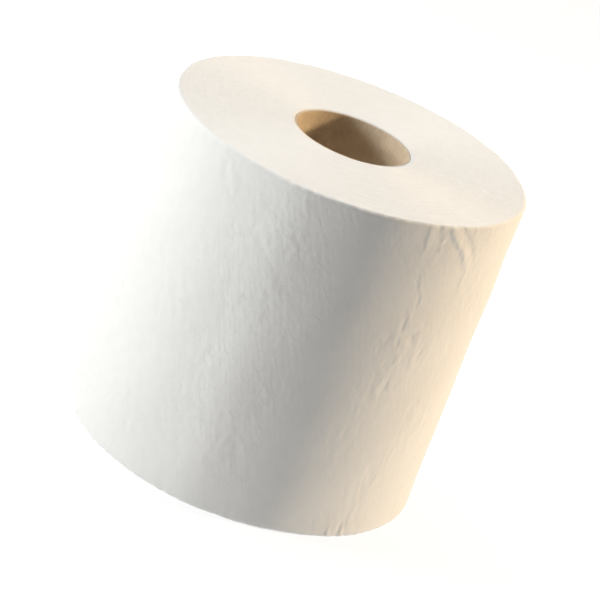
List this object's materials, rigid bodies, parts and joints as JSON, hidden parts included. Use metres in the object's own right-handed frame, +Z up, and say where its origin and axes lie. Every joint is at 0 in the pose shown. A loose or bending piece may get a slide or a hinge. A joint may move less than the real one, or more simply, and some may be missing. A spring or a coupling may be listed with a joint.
{
  "type": "tissue paper roll",
  "caption": "Roll of soft white tissue paper wound on a brown card core tube, standing on its end; the core slips over a holder's spindle.",
  "frame": {"origin": "centre of the lower end, on the core's axis, on the surface the roll stands on", "axes": "+Z up the core's axis; -Y faces the viewer of the picture, and the web's tail is on the +Y side"},
  "size_m": [0.1189, 0.1187, 0.114],
  "materials": {
    "core_card": "matte brown kraft board with a helical ply seam",
    "tissue": "matte soft creped tissue, slightly crumpled, with fine turns on the ends"
  },
  "bodies": {
    "root": {"core_tube": "core_card", "paper_web": "tissue"}
  },
  "joints": []
}
